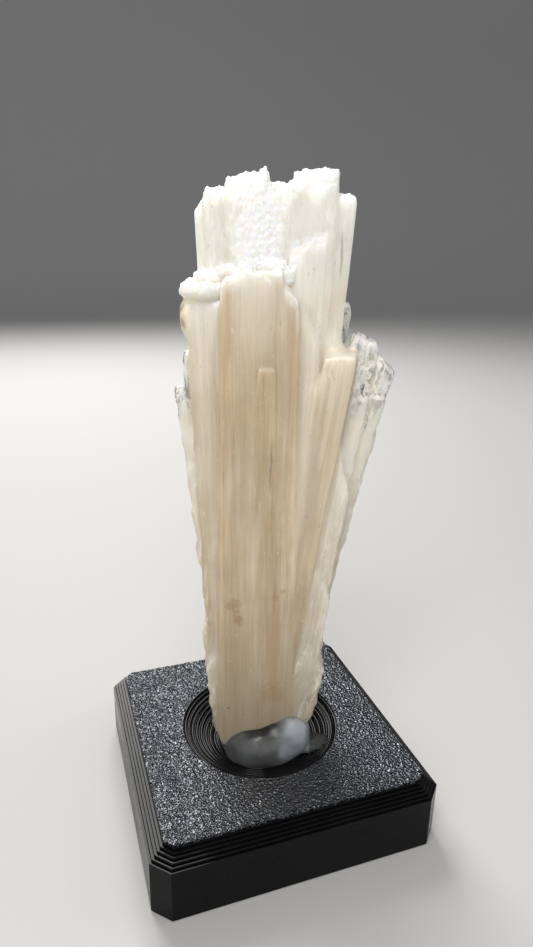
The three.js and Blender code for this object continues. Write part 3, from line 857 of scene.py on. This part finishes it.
# Each rusty stain: its centre (across, away, height), radius and strength.
STAINS = [
    ((-4.9, -6.0, 39.8), 1.5, 0.5), ((-4.1, -6.0, 36.8), 1.3, 0.6), ((-4.6, -6.0, 38.3), 1.2, 0.4),
    ((2.4, -5.4, 22.0), 2.6, 0.3), ((-5.8, -5.2, 18.8), 0.35, 0.9), ((2.3, -6.0, 41.3), 0.8, 0.4),
    ((3.4, -6.0, 42.8), 0.6, 0.4), ((-12.9, -3.3, 88.6), 1.2, 0.7), ((-12.6, -3.5, 86.4), 0.9, 0.6),
]
ragged_edge = centred(tree, noise(tree, place, 700, 3, 0.65))
for centre, radius, strength in STAINS:
    reach = vector_maths(tree, "DISTANCE", place, in_spray(*centre))
    reach = maths(tree, "ADD", reach, times(tree, ragged_edge, 2.2 * radius * MM))
    stain = between(tree, reach, 1.1 * radius * MM, 0.5 * radius * MM, 0, strength)
    color = mixed(tree, stain, color, (0.36, 0.22, 0.1))
flecks = noise(tree, along_grain(tree, 1900, 700), 1, 2, 0.5)
color = mixed(tree, between(tree, flecks, 0.68, 0.76, 0, 0.35), color, (0.36, 0.24, 0.13))
color = mixed(tree, between(tree, flecks, 0.3, 0.22, 0, 0.4), color, (0.93, 0.9, 0.84))
# The pale crystals of both edges are crackled.
margin = maths(tree, "MULTIPLY", maths(tree, "SUBTRACT", 0.34, tan), 5.0, clamp=True)
margin = times(tree, margin, between(tree, height, 80 * MM, 66 * MM))
crackle = noise(tree, along_grain(tree, 800, 260), 1, 5, 0.75)
crackled = times(tree, margin, between(tree, crackle, 0.53, 0.64, 0, 0.4))
color = mixed(tree, crackled, color, (0.94, 0.915, 0.86))
crackled = times(tree, margin, between(tree, crackle, 0.46, 0.37, 0, 0.4))
color = mixed(tree, crackled, color, (0.55, 0.495, 0.39))
# Breaks are white and gritty.
grains = node(tree, "TexVoronoi", {"Vector": place, "Scale": 1500.0}, feature="SMOOTH_F1")
patchy = between(tree, noise(tree, place, 420, 3), 0.3, 0.5, 0.6, 1)
white_break = times(tree, broken, patchy)
color = mixed(tree, white_break, color, (0.985, 0.98, 0.965))
tree.links.new(color, shader.inputs["Base Color"])
tree.links.new(between(tree, fibres, 0.3, 0.7, 0.26, 0.42), shader.inputs["Roughness"])
lines = relief(tree, fibres, 0.4, 0.12 * MM)
hairs = relief(tree, threads, 0.2, 0.05 * MM, lines)
crackles = relief(tree, crackle, margin, 0.2 * MM, hairs)
grits = relief(tree, grains.outputs["Distance"], white_break, 0.35 * MM, crackles)
tree.links.new(grits, shader.inputs["Normal"])
glow_under_skin(shader)

# Clear crystal: glass-like, with white veils and cracks that grow thicker downwards.
# Windows are its clearest panels and cracks its whitest ones: middle (across, height), half size.
WINDOWS = [((15.2, 82.4), (0.9, 1.7)), ((15.4, 77.9), (0.9, 2.0)), ((18.0, 78.6), (0.7, 2.9))]
CRACKS = [((16.2, 75.3), (2.4, 0.35)), ((15.6, 80.4), (1.0, 0.25)), ((17.0, 79.2), (0.16, 3.6))]
tree, shader, place = opened(clear)
height = node(tree, "SeparateXYZ", {"Vector": place}).outputs["Z"]
broken = node(tree, "Attribute", attribute_name="broken").outputs["Fac"]
fibres = noise(tree, along_grain(tree, 900, 40), 1, 4, 0.6)
wobble = times(tree, centred(tree, noise(tree, place, 380)), 3.4 * MM)
across = maths(tree, "ADD", vector_maths(tree, "DOT_PRODUCT", place, ACROSS), wobble)
level = maths(tree, "ADD", height, wobble)


def panel(middle, half):
    """1 inside a rounded oblong on the front of the wing, 0 outside it. Millimetres."""
    sideways = maths(tree, "ABSOLUTE", off_middle(tree, across, middle[0], half[0]))
    upwards = maths(tree, "ABSOLUTE", off_middle(tree, level, middle[1], half[1]))
    return between(tree, maths(tree, "MAXIMUM", sideways, upwards), 1.5, 0.5)


veil = noise(tree, along_grain(tree, 480, 130), 1, 4, 0.6)
ragged_height = maths(tree, "ADD", height, times(tree, veil, 16 * MM))
thicker = between(tree, ragged_height, 86 * MM, 68 * MM, 0, 0.36)
veil = between(tree, maths(tree, "ADD", veil, thicker), 0.42, 0.66, 0.12, 1)
for middle, half in WINDOWS:
    veil = times(tree, veil, between(tree, panel(middle, half), 0, 1, 1, 0.3))
crack = 0.0
for middle, half in CRACKS:
    crack = maths(tree, "MAXIMUM", crack, panel(middle, half))
veil = maths(tree, "MAXIMUM", veil, crack)
shake = times(tree, noise(tree, place, 700, 2), 0.45)
shaken = vector_maths(tree, "ADD", along_grain(tree, 430, 190), shake, "Vector")
cells = node(tree, "TexVoronoi", {"Vector": shaken, "Scale": 1.0}, feature="DISTANCE_TO_EDGE")
cells = cells.outputs["Distance"]
veil = maths(tree, "MAXIMUM", veil, between(tree, cells, 0.07, 0.02, 0, 0.8))
veil = maths(tree, "MAXIMUM", veil, times(tree, broken, 0.7))
color = mixed(tree, veil, (0.98, 0.98, 0.97), (0.8, 0.76, 0.67))
white = maths(tree, "MAXIMUM", times(tree, crack, 0.6), broken)
color = mixed(tree, white, color, (0.97, 0.96, 0.93))
tree.links.new(color, shader.inputs["Base Color"])
glassy = maths(tree, "SUBTRACT", 1.0, times(tree, veil, 0.95))
tree.links.new(glassy, shader.inputs["Transmission Weight"])
tree.links.new(between(tree, veil, 0, 1, 0.08, 0.4), shader.inputs["Roughness"])
lines = relief(tree, fibres, 0.5, 0.15 * MM)
tree.links.new(relief(tree, cells, 0.5, 0.5 * MM, lines), shader.inputs["Normal"])
glow_under_skin(shader)
warmth = node(tree, "VolumeAbsorption", {"Color": (0.9, 0.86, 0.76, 1), "Density": 40.0})
tree.links.new(warmth.outputs["Volume"], tree.nodes["Material Output"].inputs["Volume"])
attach(cluster, "root")
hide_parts("crystal_cluster")
for space in (long_space, short_space, even_space, knob_space):
    bpy.data.objects.remove(space)

# ---------------------------------------------------------------------------- putty
# A soft translucent grey lump, thumbed into the dish against the front of the crystals' foot
# in two lobes, with a thin tail smeared to the right. It holds the spray upright in the dish.
SEAM = 0.08 * MM
PUTTY_STEP = 0.22 * MM
THUMB_DENTS = 0.35 * MM
# The body, its two lobes and its tail: centre (across, away, height) and radii, in millimetres.
LOBES = [((0.3, -4.3, 9.6), (6.9, 4.7, 4.8)), ((3.0, -4.2, 11.0), (4.6, 4.4, 4.6)),
         ((5.6, -3.9, 12.4), (3.8, 3.8, 4.7)), ((9.4, -3.4, 10.0), (4.2, 2.6, 1.4))]


def thumbed_lobe(centre, radii):
    """A soft ball of putty pressed out of round."""
    bpy.ops.mesh.primitive_ico_sphere_add(subdivisions=4, radius=1)
    lobe = bpy.context.object
    rescale(lobe, [r * MM for r in radii])
    lobe.rotation_euler = (0, 0, math.radians(SPRAY_TURN))
    lobe.location = in_spray(*centre)
    settle()
    return lobe


def grown_copy(piece, by):
    """A copy of a piece, a little fatter, to cut room for it."""
    made = piece.copy()
    made.data = piece.data.copy()
    bpy.context.scene.collection.objects.link(made)
    fat = made.modifiers.new("fatter", "DISPLACE")
    fat.strength = by
    fat.mid_level = 0
    apply_modifiers(made)
    return made


putty, *lobes = [thumbed_lobe(centre, radii) for centre, radii in LOBES]
putty.name = "putty_lump"
combine(putty, lobes, "UNION")
soft = putty.modifiers.new("soft", "REMESH")
soft.mode = "VOXEL"
soft.voxel_size = PUTTY_STEP
melt = putty.modifiers.new("melt", "SMOOTH")
melt.factor = 0.5
melt.iterations = 60
displace(putty, texture("thumb_marks", 3.2 * MM, depth=1), THUMB_DENTS)
apply_modifiers(putty)
combine(putty, [grown_copy(plinth, SEAM), grown_copy(cluster, SEAM)], "DIFFERENCE")
pick(putty)
bpy.ops.object.shade_smooth_by_angle(angle=math.radians(50))
# The grey putty is whiter in its right-hand lobe, and clearest where it is thin: along its upper
# rim and in the tail that is smeared to the right.
PUTTY_GREYS = [(0.2, (0.11, 0.115, 0.11)), (0.45, (0.2, 0.21, 0.21)), (0.75, (0.42, 0.45, 0.48))]
grey = bpy.data.materials.new("grey_putty")
tree, shader, place = opened(grey)
across = vector_maths(tree, "DOT_PRODUCT", place, ACROSS)
height = node(tree, "SeparateXYZ", {"Vector": place}).outputs["Z"]
cloudy = noise(tree, place, 260, 3)
smeared = between(tree, across, 8.6 * MM, 9.8 * MM)
whiter = maths(tree, "SUBTRACT", between(tree, across, 1.5 * MM, 6.0 * MM), smeared)
tone = maths(tree, "ADD", times(tree, cloudy, 0.6), times(tree, whiter, 0.4))
tree.links.new(ramp(tree, tone, PUTTY_GREYS), shader.inputs["Base Color"])
glassy = maths(tree, "MAXIMUM", between(tree, tone, 0.2, 0.8, 0.45, 0.15), times(tree, smeared, 0.95))
thin_rim = between(tree, height, 12.0 * MM, 14.5 * MM, 0, 0.9)
thin_rim = times(tree, thin_rim, maths(tree, "SUBTRACT", 1.0, whiter))
tree.links.new(maths(tree, "MAXIMUM", glassy, thin_rim), shader.inputs["Transmission Weight"])
tree.links.new(between(tree, cloudy, 0.3, 0.7, 0.28, 0.42), shader.inputs["Roughness"])
prints = noise(tree, place, 900, 3)
tree.links.new(relief(tree, prints, 0.15, 0.2 * MM), shader.inputs["Normal"])
shader.inputs["IOR"].default_value = 1.45
shader.inputs["Subsurface Weight"].default_value = 1
shader.inputs["Subsurface Radius"].default_value = (0.9, 1.0, 1.0)
shader.inputs["Subsurface Scale"].default_value = 2.5 * MM
putty.data.materials.clear()
putty.data.materials.append(grey)
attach(putty, "root")
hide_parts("putty")

# ---------------------------------------------------------------------------- floor, light, camera
# A pale studio table that curves up behind the object, a large soft light high behind it,
# weaker ones in front and at the right, a small one close above, and the camera close to the
# stand's front left corner.
TABLE = 6
BACKDROP = 1.8
SWEEP = 0.7
bpy.ops.mesh.primitive_plane_add(size=TABLE, location=(0, -1.2, -0.0002))
floor = bpy.context.object
floor.name = "studio_floor"
bpy.ops.object.mode_set(mode="EDIT")
select_where(floor, "EDGE", lambda c, d: c.y > 0.4 * TABLE)
bpy.ops.mesh.extrude_region_move(TRANSFORM_OT_translate={"value": (0, 0, BACKDROP)})
bpy.ops.object.mode_set(mode="OBJECT")
sweep = floor.modifiers.new("sweep", "BEVEL")
sweep.width = SWEEP
sweep.segments = 16
sweep.limit_method = "ANGLE"
apply_modifiers(floor)
bpy.ops.object.shade_smooth()
paper = bpy.data.materials.new("studio_paper")
paper.use_nodes = True
shader = paper.node_tree.nodes["Principled BSDF"]
shader.inputs["Base Color"].default_value = (0.5, 0.495, 0.485, 1)
shader.inputs["Roughness"].default_value = 0.7
floor.data.materials.append(paper)


def soft_light(name, place, target, size, power, color):
    """A square area light that faces a point."""
    lamp = bpy.data.lights.new(name, "AREA")
    lamp.size = size
    lamp.energy = power
    lamp.color = color
    made = bpy.data.objects.new(name, lamp)
    made.location = place
    made.rotation_euler = (Vector(target) - Vector(place)).to_track_quat("-Z", "Y").to_euler()
    bpy.context.scene.collection.objects.link(made)


MIDDLE = (0, 0, 0.055)
soft_light("key", (-0.03, 0.52, 0.5), MIDDLE, 0.42, 5.5, (1.0, 0.985, 0.96))
soft_light("fill", (-0.38, -0.5, 0.35), MIDDLE, 0.6, 1.5, (1.0, 0.99, 0.97))
soft_light("top", (-0.07, -0.13, 0.27), (0, 0, 0.09), 0.12, 0.35, (1.0, 0.99, 0.97))
soft_light("side", (0.6, -0.15, 0.35), MIDDLE, 0.4, 0.7, (1.0, 0.99, 0.97))
world = bpy.context.scene.world or bpy.data.worlds.new("room")
bpy.context.scene.world = world
world.use_nodes = True
world.node_tree.nodes["Background"].inputs["Color"].default_value = (0.96, 0.97, 1.0, 1)
world.node_tree.nodes["Background"].inputs["Strength"].default_value = 0.3
bpy.context.scene.view_settings.view_transform = "Standard"

# The camera is a phone's: a wide lens, about 140 mm from the stand's middle, looking down by
# 18 degrees.
CAMERA_PLACE = (-34.26 * MM, -98.0 * MM, 96.13 * MM)
CAMERA_TURN, CAMERA_DOWN, CAMERA_ROLL = -19.46, 18.37, 1.09
LONG_SIDE_SENSOR = 36
FOCAL_IN_IMAGE_HEIGHTS = 655 / 947
lens = bpy.data.cameras.new("camera")
lens.sensor_width = LONG_SIDE_SENSOR
lens.lens = LONG_SIDE_SENSOR * FOCAL_IN_IMAGE_HEIGHTS
lens.clip_start = 0.005
camera = bpy.data.objects.new("camera", lens)
camera.matrix_world = (
    Matrix.Translation(CAMERA_PLACE)
    @ Matrix.Rotation(math.radians(CAMERA_TURN), 4, "Z")
    @ Matrix.Rotation(math.radians(90 - CAMERA_DOWN), 4, "X")
    @ Matrix.Rotation(math.radians(CAMERA_ROLL), 4, "Z")
)
bpy.context.scene.collection.objects.link(camera)
bpy.context.scene.camera = camera
